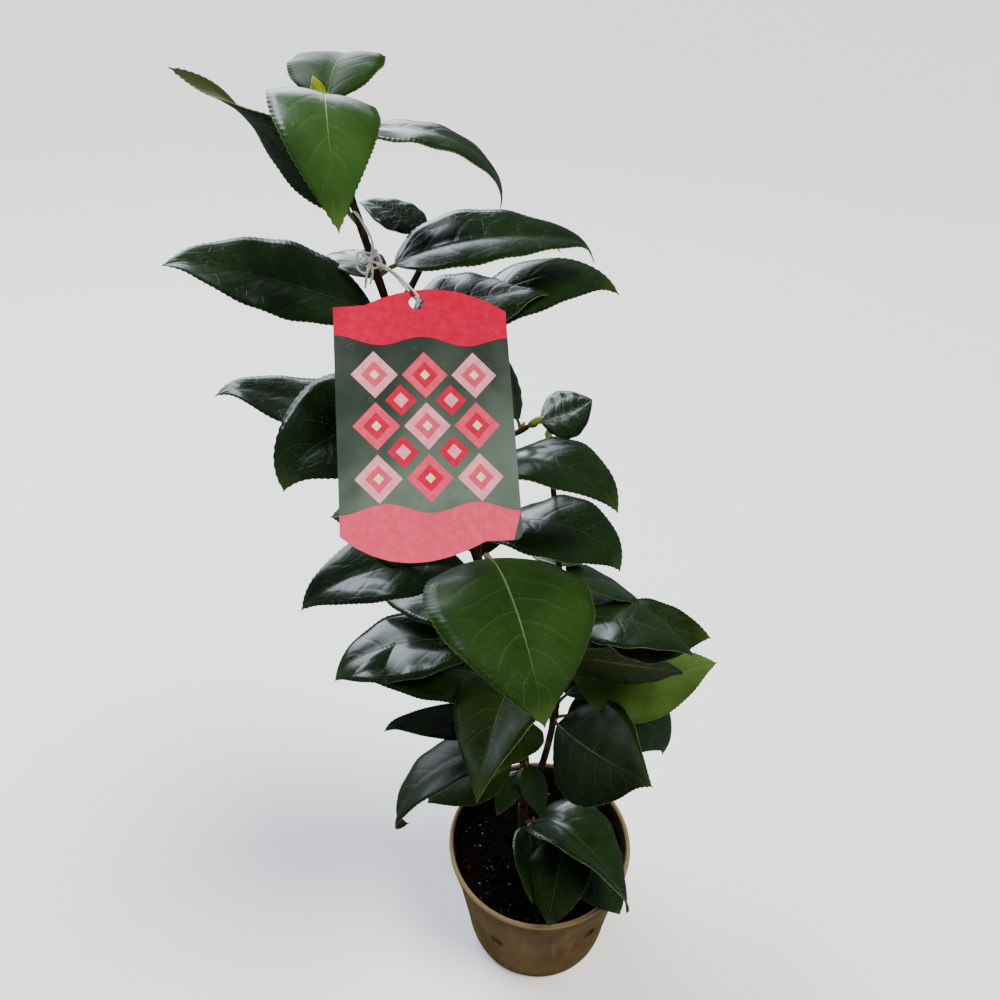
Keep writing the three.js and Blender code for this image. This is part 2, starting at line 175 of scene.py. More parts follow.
class Shader(Graph):
    """The node tree of a material on the Principled shader."""

    def __init__(self, name: str, **values: float) -> None:
        """Starts a material.

        Args:
            name: The material's name.
            values: Plain values of the shader's sockets, with underscores for spaces.
        """
        self.material = bpy.data.materials.new(name)
        self.material.use_nodes = True
        super().__init__(self.material.node_tree)
        self.surface = self.tree.nodes["Principled BSDF"].inputs
        for label, value in values.items():
            self.surface[label.replace("_", " ")].default_value = value
        self.place = self.node("ShaderNodeTexCoord", {}, "Object")

    def finish(self, colour: Value, roughness: Value, relief: Value, depth: float) -> Material:
        """Completes the material.

        Args:
            colour: Its colour.
            roughness: Its roughness.
            relief: The height pattern of its relief.
            depth: The depth of the relief, in metres.

        Returns:
            The material.
        """
        normal = self.node("ShaderNodeBump", {"Height": relief, "Distance": depth})
        for label, value in (("Base Color", colour), ("Roughness", roughness), ("Normal", normal)):
            self.put(self.surface[label], value)
        return self.material


@dataclass(frozen=True)
class Finish:
    """A named finish with its base colour."""

    name: str
    base: str

    def make(self) -> Material:
        """Makes the material."""
        raise NotImplementedError


@cache
def material(finish: Finish) -> Material:
    """Gives the material of a finish, made once."""
    return finish.make()


@dataclass(frozen=True)
class LeafFinish(Finish):
    """The upper side of a leaf: dark, waxy, with a pale midrib, arching side veins and a faint net."""

    shade: str
    vein: str
    roughness: float = 0.24
    gloss: float = 0.45
    coat: float = 0.26
    side_veins: float = 0.14
    net: float = 0.0
    relief: float = 1.0
    bloom: str = "6E7C4C"
    dust: str = "C9CCBE"

    def make(self) -> Material:
        """Makes the material."""
        shader = Shader(self.name, Specular_IOR_Level=self.gloss, Coat_Weight=self.coat, Coat_Roughness=0.12)
        place = shader.place
        uv = shader.node("ShaderNodeUVMap", {}, uv_map=LEAF_MAP)
        u, v, _ = uv.parts()
        across = abs(u - 0.5) * 2
        rib = across.ramp(v * -0.013 + 0.024, 0)
        phase = v * 7.5 - across ** 1.3 * 1.6 + (u > 0.5) * 0.45 + place.noise(45, 2) * 0.9
        wave = abs(phase.fraction() - 0.5)
        fade = across.ramp(0.95, 0.45)
        hollows = wave.ramp(0.2, 0) * fade
        net = uv.stretch(1, 1.8, 1).cells(9, "DISTANCE_TO_EDGE").ramp(0.03, 0)
        patches = place.noise(42, 3).ramp(0.3, 0.7)
        marks = wave.ramp(0.042, 0) * fade * self.side_veins + rib * 0.65 + net * self.net
        marks = marks + v.ramp(0.86, 1, 0, 0.22) + across.ramp(0.975, 1, 0, 0.3)
        colour = marks.at_most(0.9).mix(patches.mix(self.base, self.shade), self.vein)
        grain = place.noise(1100, 3, 0.7).ramp(0.55, 0.72)
        worn = grain * place.noise(48, 4, 0.7).ramp(0.45, 0.68, 0.06, 0.34)
        specks = place.cells(210).ramp(0.045, 0.03, 0, 0.6) * place.noise(33, 1).ramp(0.56, 0.64)
        colour = specks.mix(worn.mix(colour, self.bloom), self.dust)
        height = rib * -0.8 + hollows * -0.17 + net * -0.06
        height = height + place.noise(55, 2) * 0.45 + place.noise(900, 2) * 0.03
        return shader.finish(colour, patches * 0.08 + self.roughness, height, 0.00045 * self.relief)


@dataclass(frozen=True)
class UndersideFinish(Finish):
    """The underside of a leaf: dull, olive, with veins a little raised."""

    patch: str
    vein: str

    def make(self) -> Material:
        """Makes the material."""
        shader = Shader(self.name)
        u, v, _ = shader.node("ShaderNodeUVMap", {}, uv_map=LEAF_MAP).parts()
        across = abs(u - 0.5) * 2
        wave = abs((v * 8.5 - across * 1.5).fraction() - 0.5)
        marks = wave.ramp(0.08, 0) * 0.3 + across.ramp(0.07, 0) * 0.8
        patches = shader.place.noise(70, 3)
        colour = marks.at_most(0.85).mix((patches * 0.5).mix(self.base, self.patch), self.vein)
        return shader.finish(colour, patches * 0.14 + 0.4, patches * 0.5 + marks, 0.0004)


@dataclass(frozen=True)
class BarkFinish(Finish):
    """Young bark: red-brown, streaked along the stem, with warm scars and pale flecks."""

    dark: str
    scar: str
    scar_share: float = 0.5
    fleck: str = "6E5640"

    def make(self) -> Material:
        """Makes the material."""
        shader = Shader(self.name)
        streaks = shader.place.stretch(1, 1, 0.16).noise(900, 5, 0.65)
        scars = shader.place.noise(90).ramp(0.55, 0.7) * self.scar_share
        colour = scars.mix(streaks.ramp(0.38, 0.62).mix(self.dark, self.base), self.scar)
        flecks = shader.place.stretch(1, 1, 0.6).cells(420).ramp(0.16, 0.08, 0, 0.5)
        colour = flecks.mix(colour, self.fleck)
        return shader.finish(colour, streaks * 0.2 + 0.5, streaks + flecks * 0.8, 0.0005)


@dataclass(frozen=True)
class MottledFinish(Finish):
    """A surface mottled with a tint, with a relief of the same pattern: stalks, buds, ink, string."""

    tint: str
    scale: float = 260
    detail: float = 3
    coarseness: float = 0.55
    low: float = 0.4
    high: float = 0.65
    relief: float = 0.0002
    roughness: float = 0.4
    unevenness: float = 0.15
    specular: float = 0.5
    stretch: Triple = (1, 1, 1)

    def make(self) -> Material:
        """Makes the material."""
        shader = Shader(self.name, Specular_IOR_Level=self.specular)
        mottle = shader.place.stretch(*self.stretch).noise(self.scale, self.detail, self.coarseness)
        colour = mottle.ramp(self.low, self.high).mix(self.base, self.tint)
        return shader.finish(colour, mottle * self.unevenness + self.roughness, mottle, self.relief)


@dataclass(frozen=True)
class InkFinish(MottledFinish):
    """A printed colour with a fine mottle."""

    scale: float = 420
    detail: float = 4
    coarseness: float = 0.6
    high: float = 0.66
    relief: float = 0.00003
    unevenness: float = 0.1
    specular: float = 0.25


@dataclass(frozen=True)
class PotFinish(Finish):
    """Thin moulded taupe plastic with dust, dried water marks and soil specks, with painted shade along the
    crease under the band and a painted highlight along the lip.
    """

    deep: str
    dust: str
    soil: str = "4A2B16"
    wet_soil: str = "180A04"
    crease_painted_shade: str = "1E150A"
    lip_painted_highlight: str = "94805E"
    crease: float = 0.0662
    soil_marks: tuple[Triple, ...] = ((-0.0253, -0.039, 0.037), (0.028, -0.0378, 0.0446))

    def make(self) -> Material:
        """Makes the material."""
        shader = Shader(self.name, Specular_IOR_Level=0.03)
        place = shader.place
        clouds = place.noise(26, 5, 0.6)
        runs = place.stretch(1, 1, 0.12).noise(120)
        colour = clouds.ramp(0.35, 0.7).mix(self.base, self.deep)
        colour = runs.ramp(0.52, 0.75, 0, 0.35).mix(colour, self.dust)
        specks = place.cells(70).ramp(0.09, 0.03, 0, 0.8) * place.noise(17, 2).ramp(0.6, 0.68)
        colour = specks.mix(colour, self.soil)
        torn = place.noise(480, 4, 0.7).ramp(0.4, 0.5)
        for spot in self.soil_marks:
            blot = place.measure("DISTANCE", spot).ramp(0.006, 0.002) * torn
            colour = blot.mix(colour, self.wet_soil)
        level = place.parts()[2]
        # painted shade: a dark line along the crease just under the band's step
        colour = abs(level - self.crease).ramp(0.0011, 0.0003, 0, 0.5).mix(colour, self.crease_painted_shade)
        # painted highlight: the top of the rim made lighter, as where light falls on it
        colour = level.ramp(self.crease + 0.0085, self.crease + 0.01, 0, 0.45).mix(colour, self.lip_painted_highlight)
        height = place.noise(1500, 3, 0.7) * 0.35 + runs * 0.4
        return shader.finish(colour, clouds * 0.2 + 0.5, height, 0.00025)


@dataclass(frozen=True)
class CompostFinish(Finish):
    """Moist peaty compost, nearly black between its crumbs."""

    light: str

    def make(self) -> Material:
        """Makes the material."""
        shader = Shader(self.name, Specular_IOR_Level=0.03)
        crumbs = shader.place.noise(420, 6, 0.7)
        fibres = shader.place.stretch(1, 0.4, 1).cells(500)
        colour = crumbs.ramp(0.45, 0.72).mix(self.base, self.light)
        return shader.finish(colour, crumbs * 0.3 + 0.6, fibres * 0.5 + crumbs, 0.0012)


@dataclass(frozen=True)
class CardFinish(Finish):
    """The plastic card: a grey-green ground, darker at its head, with round water-drop marks."""

    light: str
    shade: str
    drop: str

    def make(self) -> Material:
        """Makes the material."""
        shader = Shader(self.name, Specular_IOR_Level=0.25)
        place = shader.place
        cloud = place.noise(28, 3).ramp(0.35, 0.65)
        head = place.parts()[2].ramp(0.35, 0.4, 0, 0.75)
        colour = head.mix(cloud.mix(self.base, self.light), self.shade)
        drops = place.cells(260)
        ring = drops.ramp(0.2, 0.25) * drops.ramp(0.34, 0.28) * place.noise(60, 1).ramp(0.5, 0.56)
        colour = (ring * 0.35).mix(colour, self.drop)
        return shader.finish(colour, cloud * 0.08 + 0.4, place.noise(1800, 2) * 0.2 + ring, 0.00006)


class Look(Enum):
    """How the upper side of a leaf is finished."""

    DEEP = LeafFinish("leaf_deep", "0C1F07", "14280B", "526C2E")
    BROAD = LeafFinish("leaf_broad", "182E0A", "22390F", "66803A", 0.34, 0.24, 0.06, 0.13, 0.04, 0.7)
    YOUNG = LeafFinish("leaf_young", "223C12", "2E4C1C", "86A042", 0.3, 0.3, 0.12, 0.1, 0.02, 0.7)
    # partly painted light: a lighter yellow-green leaf, partly its own tone and partly the brightness of a
    # sunlit leaf
    BRIGHT = LeafFinish("leaf_bright", "2A4013", "415722", "6C8430", 0.4, 0.2, 0.05, 0.12, 0.03)
    SATIN = LeafFinish("leaf_satin", "131F0D", "1A2714", "5E6C4A", 0.4, 0.16, 0.03, 0.3)
    MATT = LeafFinish("leaf_matt", "182C0C", "223814", "86A042", 0.36, 0.1, 0.0, 0.1, 0.02, 0.7)
    DULL = LeafFinish("leaf_dull", "0F1C06", "19270B", "5E6E38", 0.36, 0.09, 0.0, 0.16, 0.03, 0.7)


class Ink(Enum):
    """The colours printed on the card."""

    CRIMSON = InkFinish("crimson_ink", "C40033", "CE0A40")
    ROSE = InkFinish("rose_ink", "DA425C", "E05068")
    BLUSH = InkFinish("blush_ink", "E88A9C", "EFA4B0")
    CREAM = InkFinish("cream_ink", "E9D9B4", "F0E4C8")


UNDERSIDE = UndersideFinish("leaf_underside", "2C3614", "38401A", "5E6832")
MARGIN = MottledFinish("leaf_margin", "4C5C2C", "6A783E")
STALK = MottledFinish("leaf_stalk", "4E5A26", "6E4A28")
BUD = MottledFinish("young_bud", "6E7E2A", "9A9A3C")
OPENING_BUD = MottledFinish("opening_bud", "8C9416", "6C6A12")
BARK = BarkFinish("leader_bark", "34190E", "1C0C07", "6E3A18")
OLD_BARK = BarkFinish("trunk_bark", "3C2618", "22150E", "60401F", 0.3)
SHOOT_BARK = BarkFinish("shoot_bark", "3E3216", "2A1C0D", "5E421E", 0.4)
POT = PotFinish("taupe_pot_plastic", "5E4C30", "4C3B23", "786446")
# painted shade: a darker copy of the pot plastic for the inner wall, which lies in shadow
POT_INSIDE_PAINTED_SHADE = PotFinish("shaded_pot_plastic", "2A1D0E", "1E140A", "3A2C1A")
CARD = CardFinish("label_card", "36443A", "667367", "1C211D", "4E5A50")
STRING = MottledFinish("tie_string", "B9B3A4", "F1EEE4", 2600, 4, 0.7, 0.35, 0.7, 0.0003, 0.6, 0.2,
                       stretch=(1, 1, 1.6))
COMPOST = CompostFinish("moist_compost", "060403", "1C120D")


# ---------- shapes ----------


@dataclass(frozen=True)
class Stem:
    """A tapering stem on a cubic curve: its start, two handles and tip, and its radii at both ends."""

    points: tuple[Triple, Triple, Triple, Triple]
    radii: Pair

    def at(self, share: float) -> Vector:
        """Gives the point of the curve at a share of it."""
        rest = 1 - share
        weights = (rest ** 3, 3 * rest ** 2 * share, 3 * rest * share ** 2, share ** 3)
        return sum((Vector(p) * w for p, w in zip(self.points, weights)), Vector())

    def along(self, share: float) -> Vector:
        """Gives the curve's direction at a share of it."""
        return (self.at(min(share + 0.01, 1)) - self.at(max(share - 0.01, 0))).normalized()

    def radius(self, share: float) -> float:
        """Gives the radius at a share of the curve."""
        return self.radii[0] + (self.radii[1] - self.radii[0]) * share


STEMS: dict[str, Stem] = {
    "trunk": Stem(((-9, 3, 67.3), (-9, 3, 79), (-10, 3, 91), (-10, 3, 103)), (2.9, 2.9)),
    "leader": Stem(((-10, 3, 103), (-4, 2, 213), (-50, -3, 333), (-78, 0, 461)), (2.4, 1.2)),
    "right": Stem(((-10, 3, 103), (18, 8, 173), (4, 12, 273), (-3, 12, 337)), (2.1, 1.1)),
    "front": Stem(((-26, -1, 263), (-27, -14, 288), (-28, -30, 311), (-28, -44, 319)), (1.5, 1.0)),
    "upper": Stem(((-64, -1, 387), (-58, 2, 397), (-50, 8, 409), (-45, 14, 419)), (1.5, 1.0)),
    "middle": Stem(((-47, -2, 339), (-38, 3, 337), (-24, 3, 338), (-11, 2, 348)), (1.5, 1.0)),
    "low": Stem(((-9, 3, 87), (-9, -2, 96), (-4, -8, 104), (14, -14, 104)), (1.6, 1.1)),
}


@dataclass(frozen=True)
class Leaf:
    """One leaf: its place on the stem, its aim, its size, how it arches and twists, and its look."""

    at: float
    heading: float
    rise: float
    length: float
    width: float
    droop: float
    roll: float = 0
    twist: float = 0
    bend: float = 1
    fold: float = 12
    hook: float = 20
    petiole: float = 7
    wind: float = 1
    taper: float = 1.15
    look: Look = Look.DEEP


def back_leaves(count: int, start: float, end: float, around: float, seed: int) -> list[Leaf]:
    """Spreads leaves on the side away from the label.

    Args:
        count: How many leaves.
        start: Where their stretch of the stem begins.
        end: Where it ends.
        around: The heading that they spread about.
        seed: The seed of their small differences.

    Returns:
        The leaves, from the lowest up.
    """
    leaves = []
    for i in range(count):
        length = 60 + 14 * chance(i, seed + 2)
        leaves.append(Leaf(
            at=start + (end - start) * (i + 0.5) / count,
            heading=around + (1 if i % 2 else -1) * (8 + 26 * chance(i, seed)),
            rise=12 + 20 * chance(i, seed + 1),
            length=length,
            width=0.52 * length,
            droop=35 + 30 * chance(i, seed + 3),
            roll=16 * chance(i, seed + 4) - 8,
        ))
    return leaves


@dataclass(frozen=True)
class Mass:
    """A mass of foliage: its stem and its leaves."""

    name: str
    stem: str
    leaves: tuple[Leaf, ...]


MASSES: tuple[Mass, ...] = (
    Mass("leaves_lower", "leader", (
        Leaf(0.11, -125, -8, 27, 15, 45, 10, petiole=4),
        Leaf(0.12, -166, 4, 53, 34, 49, -7, look=Look.DULL),
        Leaf(0.13, -68, -22, 29, 16, 30, -15, petiole=4),
        Leaf(0.18, -150, 11, 87, 39, 117, 17, 11, bend=2.2, fold=20, hook=45, look=Look.SATIN),
        Leaf(0.205, -170, 20, 66, 20, 18, -62, fold=18, hook=50),
        Leaf(0.24, -102, 40, 55, 36, 42, -12, -5, look=Look.DULL),
        Leaf(0.28, -102, 60, 86, 44, 78, -21, 50, bend=0.7, fold=24, look=Look.DULL),
        Leaf(0.3, -164, 34, 76, 44, 32, 10, -30, bend=1.2, fold=16),
        Leaf(0.38, 183, 10, 84, 48, 62, 14, -30, bend=1.4),
        *back_leaves(4, 0.16, 0.44, 118, 3),
    )),
    Mass("leaves_middle", "leader", (
        Leaf(0.49, -163, 42, 81, 39, 76, 3, -40, bend=0.8, fold=20),
        Leaf(0.54, 171, 23, 58, 41, 30, -23, -10),
        Leaf(0.57, -22, 26, 70, 45, 85, -21, 46, bend=1.7),
        Leaf(0.63, -28, 41, 77, 43, 91, -24, 39, bend=1.5, fold=18),
        Leaf(0.66, -140, 48, 76, 53, 104, -25, -18, bend=1.6, fold=20),
        Leaf(0.7, -173, 17, 75, 34, -3, -4, -14, bend=1.4, hook=54),
        *back_leaves(4, 0.47, 0.73, 108, 8),
    )),
    Mass("leaves_upper", "leader", (
        Leaf(0.765, 14, 47, 87, 32, 79, -14, 55, bend=1.4, fold=4),
        Leaf(0.82, -167, 26, 70, 38, 12, -22, -12, fold=22, hook=25),
        Leaf(0.81, 6, 24, 52, 40, 23, 35, -43, bend=0.8, fold=8, hook=35),
        Leaf(0.85, 125, 22, 34, 20, 40, fold=15, petiole=5),
        Leaf(0.86, 10, 31, 77, 33, 46, 26, -18, bend=0.6, fold=20, hook=53),
    )),
    Mass("leaves_crown", "leader", (
        Leaf(0.905, 180, 49, 66, 19, 20, -84, -150, bend=1.5, fold=8, hook=5, petiole=5, wind=1.6),
        Leaf(0.98, -1, 5, 61, 29, 88, 5, -4, bend=1.9, petiole=6),
        Leaf(0.985, -79, 51, 68, 31, 130, -12, bend=0.75, fold=10, hook=5, petiole=5, look=Look.YOUNG),
        Leaf(0.99, 86, 52, 50, 32, 78, bend=0.8, fold=14, hook=10, petiole=5, look=Look.MATT),
    )),
    Mass("leaves_upper_twig", "upper", (
        Leaf(0.95, 158, 26, 28, 19, 20, -13, 1, bend=1.3, petiole=4),
        Leaf(1, 19, 2, 46, 20, 30, petiole=4),
    )),
    Mass("leaves_middle_twig", "middle", (
        Leaf(0.9, 120, 66, 24, 17, -10, 40, fold=15, hook=0, petiole=4),
        Leaf(1, 8, 15, 22, 25, -15, 17, 8, hook=0, petiole=4, taper=1),
    )),
    Mass("leaves_front", "front", (
        Leaf(1, -75, 30, 72, 58, 75, -4, -10, bend=0.8, hook=10, look=Look.BROAD),
    )),
    Mass("leaves_right_lower", "right", (
        Leaf(0.3, 10, 0, 83, 41, 84, 41, 16, bend=1.3, fold=15),
        Leaf(0.29, -63, 20, 86, 52, -20, 45, fold=8, petiole=4, taper=1.3, look=Look.DULL),
        # this leaf's lighter finish is partly painted sunlight
        Leaf(0.42, 7, -16, 77, 49, -36, 12, 9, look=Look.BRIGHT),
        Leaf(0.48, -10, -6, 54, 36, -10, -70, -10, fold=10),
        *back_leaves(3, 0.3, 0.52, 58, 14),
    )),
    Mass("leaves_right_upper", "right", (
        Leaf(0.58, -24, 16, 62, 38, 60, 0, -20, bend=2, fold=8),
        Leaf(0.6, -9, -13, 65, 46, -14, -31, 62, fold=8, look=Look.DULL),
        Leaf(0.66, 35, -20, 60, 36, 35),
        Leaf(0.57, 62, -12, 60, 34, 30),
        Leaf(0.68, 84, -16, 56, 30, 24),
    )),
    Mass("leaves_low", "low", (
        Leaf(0.36, -89, 20, 43, 22, 60, -30, -5, petiole=4),
        Leaf(0.5, -46, 60, 83, 46, 127, 7, -60, bend=0.9, fold=30, petiole=5),
        Leaf(0.9, -42, -14, 52, 34, 46, 6, petiole=6),
        Leaf(1, -106, 6, 46, 36, 62, 10, 10, fold=18, petiole=5, look=Look.DULL),
    )),
)


def aim(heading: float, rise: float) -> Vector:
    """Gives the unit vector of a heading and a rise in degrees."""
    turn, lift = math.radians(heading), math.radians(rise)
    return Vector((math.cos(turn) * math.cos(lift), math.sin(turn) * math.cos(lift), math.sin(lift)))


def mesh_of(shape: Shape, name: str) -> bpy.types.Mesh:
    """Turns a shape into a mesh and lets go of the shape."""
    mesh = bpy.data.meshes.new(name)
    shape.to_mesh(mesh)
    shape.free()
    return mesh


def placed(name: str, data: bpy.types.ID) -> bpy.types.Object:
    """Puts an object with its data into the scene."""
    made = bpy.data.objects.new(name, data)
    bpy.context.scene.collection.objects.link(made)
    return made


def turned(profile: Sequence[Pair], sides: int) -> Shape:
    """Turns a section round the upright axis.

    Args:
        profile: Its radii and heights.
        sides: The number of sides.

    Returns:
        The shape.
    """
    shape = bmesh.new()
    verts = [shape.verts.new((r, 0, z)) for r, z in profile]
    edges = [shape.edges.new(pair) for pair in zip(verts, verts[1:])]
    bmesh.ops.spin(shape, geom=verts + edges, cent=(0, 0, 0), axis=(0, 0, 1), angle=2 * math.pi,
                   steps=sides, use_merge=True, use_duplicate=False)
    bmesh.ops.remove_doubles(shape, verts=shape.verts, dist=1e-4)
    return shape


class Piece:
    """A mesh under construction that becomes one named object of the scene."""

    def __init__(self, name: str) -> None:
        """Starts an empty piece of a name."""
        self.name = name
        self.body = bmesh.new()
        self.finishes: list[Finish] = []

    def slot(self, finish: Finish) -> int:
        """Gives the index of a finish on this piece, adding it if it is new."""
        if finish not in self.finishes:
            self.finishes.append(finish)
        return self.finishes.index(finish)

    def take(self, shape: Shape, finish: Finish | None = None) -> None:
        """Joins a shape to this piece and lets go of it.

        Args:
            shape: The shape, which is freed.
            finish: The finish of all its faces, or None where they have theirs.
        """
        if finish is not None:
            index = self.slot(finish)
            for face in shape.faces:
                face.material_index = index
        mesh = mesh_of(shape, "part")
        self.body.from_mesh(mesh)
        bpy.data.meshes.remove(mesh)

    def show(self, slot: str, *nodes: str, smooth: bool = True) -> bpy.types.Object:
        """Makes the object, seats it on the part and reports it.

        Args:
            slot: The record's material slot of its finish; not used.
            nodes: The nodes of the part that it replaces.
            smooth: Whether its faces are shaded smooth.

        Returns:
            The object.
        """
        for face in self.body.faces:
            face.smooth = smooth
        bmesh.ops.scale(self.body, vec=(MM, MM, MM), verts=self.body.verts)
        made = placed(self.name, mesh_of(self.body, self.name))
        for finish in self.finishes:
            made.data.materials.append(material(finish))
        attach(made, ROOT)
        if nodes:
            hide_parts(*nodes)
        faces = len(made.data.polygons)
        log.info("%s: %d faces, stands for %s", self.name, faces, ", ".join(nodes) or "no node")
        return made


def swept(path: Sequence[Vector], sides: int, radius: Callable[[float, float], float]) -> Shape:
    """Builds a closed round body along a path, without twist.

    Args:
        path: The points that it follows.
        sides: Its number of sides.
        radius: Gives the radius for a share of the path and an angle round it.

    Returns:
        The shape.
    """
    last = len(path) - 1
    side = Vector((0, 1, 0)) if abs((path[1] - path[0]).normalized().x) > 0.9 else Vector((1, 0, 0))
    frames = []
    for i, point in enumerate(path):
        along = (path[min(i + 1, last)] - path[max(i - 1, 0)]).normalized()
        side = (side - along * side.dot(along)).normalized()
        frames.append((point, side, along.cross(side)))
    made = bmesh.new()
    bmesh.ops.create_cone(made, cap_ends=True, cap_tris=True, segments=sides, radius1=1, radius2=1, depth=2)
    long_edges = [e for e in made.edges if abs(e.verts[0].co.z - e.verts[1].co.z) > 1]
    bmesh.ops.subdivide_edges(made, edges=long_edges, cuts=last - 1, use_grid_fill=True)
    for vert in made.verts:
        share = (vert.co.z + 1) / 2
        point, side, other = frames[round(share * last)]
        angle = math.atan2(vert.co.y, vert.co.x)
        reach = radius(share, angle) * math.hypot(vert.co.x, vert.co.y)
        vert.co = point + side * (math.cos(angle) * reach) + other * (math.sin(angle) * reach)
    bmesh.ops.recalc_face_normals(made, faces=made.faces)
    return made


@dataclass
class Foliage:
    """All leaves, by the rule of the part's solids, with teeth, a wavy edge and a thin section."""

    across: int = 12
    along: int = 111
    thickness: float = 0.42
    cup: float = 0.25
    tooth: float = 0.42
    toothed: Pair = (0.08, 0.97)
    ripple: float = 0.45
    waves: float = 4.5
    rising: float = 0.75
    least_half: float = 0.25
    near: float = 0.002

    def half_width(self, share: float, falling: float) -> float:
        """Gives half the width at a share of the length, as a share of the widest half."""
        widest = self.rising / (self.rising + falling)
        peak = widest ** self.rising * (1 - widest) ** falling
        return max(share, 0) ** self.rising * max(1 - share, 0) ** falling / peak

    def midrib_aim(self, leaf: Leaf, share: float) -> Vector:
        """Gives the midrib's direction at a share of the length: it arches, and the tip hooks."""
        t = min(max((share - 0.8) / 0.2, 0), 1)
        hook = t * t * (3 - 2 * t) * leaf.hook
        return aim(leaf.heading, leaf.rise - leaf.droop * share ** leaf.bend - hook)

    def sections(self, leaf: Leaf, root: Vector) -> list[tuple[Vector, Vector, Vector]]:
        """Gives the place, side and upper normal at even shares of the length.

        Args:
            leaf: The leaf.
            root: Where its stalk leaves the stem.

        Returns:
            One row for each section, from the foot to the tip.
        """
        turn = math.radians(leaf.heading)
        side = Vector((-math.sin(turn), math.cos(turn), 0))
        place = root + aim(leaf.heading, leaf.rise) * leaf.petiole
        found = []
        for i in range(self.along + 1):
            share = i / self.along
            normal = self.midrib_aim(leaf, share).cross(side)
            angle = math.radians(leaf.roll + leaf.twist * share ** leaf.wind)
            found.append((place.copy(), side * math.cos(angle) + normal * math.sin(angle),
                          normal * math.cos(angle) - side * math.sin(angle)))
            place += self.midrib_aim(leaf, share + 0.5 / self.along) * (leaf.length / self.along)
        return found

    def blade(self, leaf: Leaf, root: Vector, piece: Piece, seed: float) -> None:
        """Adds a leaf's blade to a piece.

        Args:
            leaf: The leaf.
            root: Where its stalk leaves the stem.
            piece: The piece that it joins.
            seed: The seed of its wavy edge.
        """
        sections = self.sections(leaf, root)
        made = bmesh.new()
        bmesh.ops.create_grid(made, x_segments=self.across, y_segments=self.along, size=1)
        u_layer = made.verts.layers.float.new("u")
        s_layer = made.verts.layers.float.new("s")
        fold = math.radians(leaf.fold)
        for vert in made.verts:
            u, share = vert.co.x, (vert.co.y + 1) / 2
            row = round(share * self.along)
            place, side, normal = sections[row]
            half = max(leaf.width / 2 * self.half_width(share, leaf.taper), self.least_half)
            lift = half * abs(u) * math.sin(fold) - self.cup * half * u * u
            wave = math.sin(2 * math.pi * (self.waves * share + seed + 0.2 * u))
            lift += self.ripple * u * u * wave * half / 20
            if abs(u) > 0.99 and self.toothed[0] < share < self.toothed[1]:
                half += self.tooth * (row % 3) / 2
            vert[u_layer], vert[s_layer] = (u + 1) / 2, share
            vert.co = place - side * (u * half * math.cos(fold)) + normal * lift
        made.normal_update()
        bmesh.ops.solidify(made, geom=made.faces[:], thickness=self.thickness)
        bmesh.ops.recalc_face_normals(made, faces=made.faces)
        uv = made.loops.layers.uv.new(LEAF_MAP)
        top, under, margin = (piece.slot(f) for f in (leaf.look.value, UNDERSIDE, MARGIN))
        for face in made.faces:
            spots = [(v[u_layer], v[s_layer]) for v in face.verts]
            share = sum(s for _, s in spots) / len(spots)
            upper = sections[round(share * self.along)][2]
            if all(min(u, s) < self.near or max(u, s) > 1 - self.near for u, s in spots):
                face.material_index = margin
            else:
                face.material_index = top if face.normal.dot(upper) > 0 else under
            for loop in face.loops:
                loop[uv].uv = (loop.vert[u_layer], loop.vert[s_layer])
        piece.take(made)

    def stalk(self, leaf: Leaf, root: Vector, piece: Piece) -> None:
        """Adds the stalk that carries a leaf, running on as the rib under the blade's foot.

        Args:
            leaf: The leaf.
            root: Where the stalk leaves the stem.
            piece: The piece that it joins.
        """
        sections = self.sections(leaf, root)
        under = [place - normal * (0.35 + 0.3 * i / 10)
                 for i, (place, _, normal) in enumerate(sections[:22:2])]
        path = [root.lerp(sections[0][0], i / 5) for i in range(5)] + under
        thick = 0.95 if leaf.length > 40 else 0.7
        shape = swept(path, 8, lambda share, _: thick * (1.15 - 0.85 * share))
        shape.loops.layers.uv.new(LEAF_MAP)
        piece.take(shape, STALK)

    def build(self) -> None:
        """Builds one piece of leaves for each mass, in place of its node."""
        for number, mass in enumerate(MASSES):
            piece = Piece(mass.name + "_blades")
            for count, leaf in enumerate(mass.leaves):
                root = STEMS[mass.stem].at(leaf.at)
                self.blade(leaf, root, piece, chance(count, number))
                self.stalk(leaf, root, piece)
            piece.show("foliage", mass.name)


